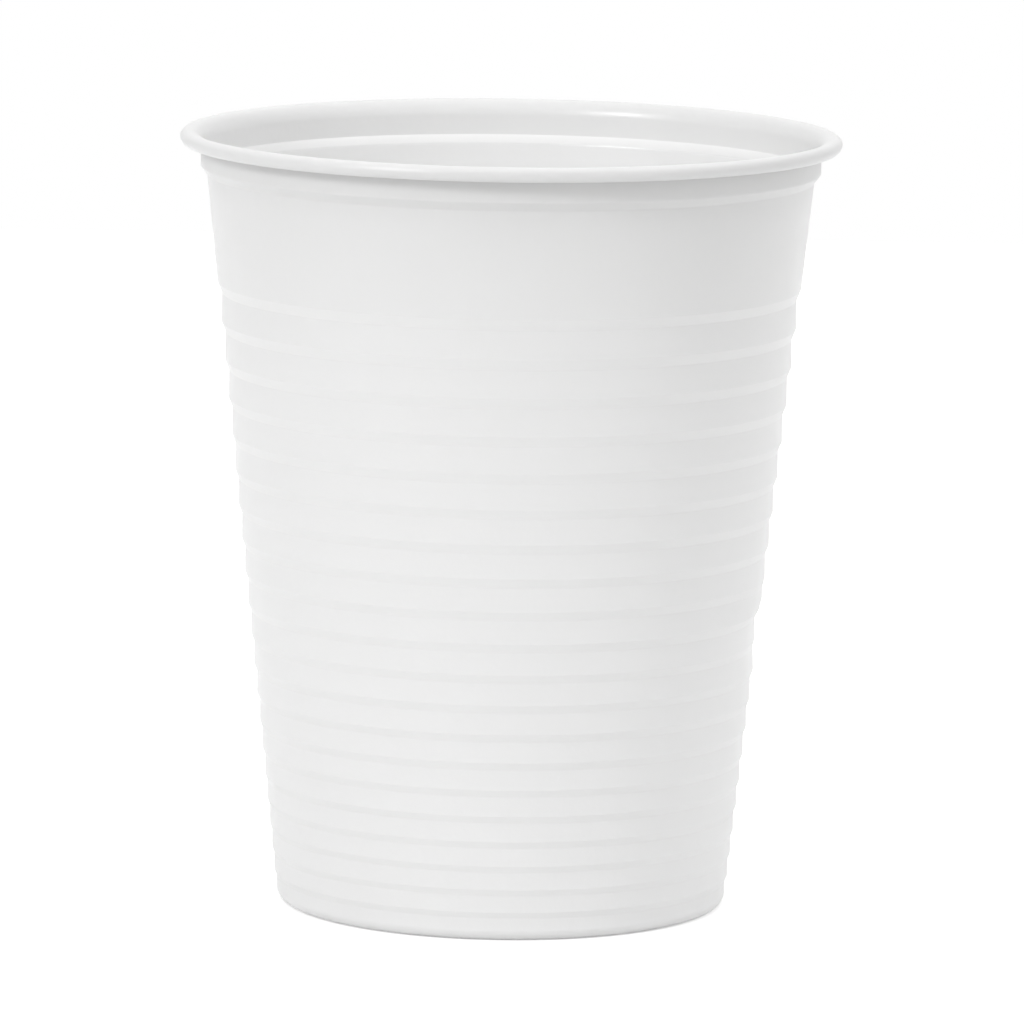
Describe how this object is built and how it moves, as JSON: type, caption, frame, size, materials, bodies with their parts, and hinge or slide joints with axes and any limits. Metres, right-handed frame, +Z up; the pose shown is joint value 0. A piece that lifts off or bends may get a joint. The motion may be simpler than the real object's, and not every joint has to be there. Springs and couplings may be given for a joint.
{
  "type": "disposable rinse cup",
  "caption": "Thin white disposable rinse cup: round tapered wall with stepped ribs, a smooth band under a rolled rim, open mouth and a ring foot to stand on.",
  "frame": {"origin": "middle of the foot, on the surface that the cup stands on", "axes": "+Z up along the cup's own axis, out of the mouth; X and Y are free, because the cup is round"},
  "size_m": [0.0702, 0.0702, 0.0828],
  "materials": {
    "cup_plastic": "smooth glossy white polystyrene, a little translucent"
  },
  "bodies": {
    "root": {"rinse_cup": "cup_plastic"}
  },
  "joints": []
}
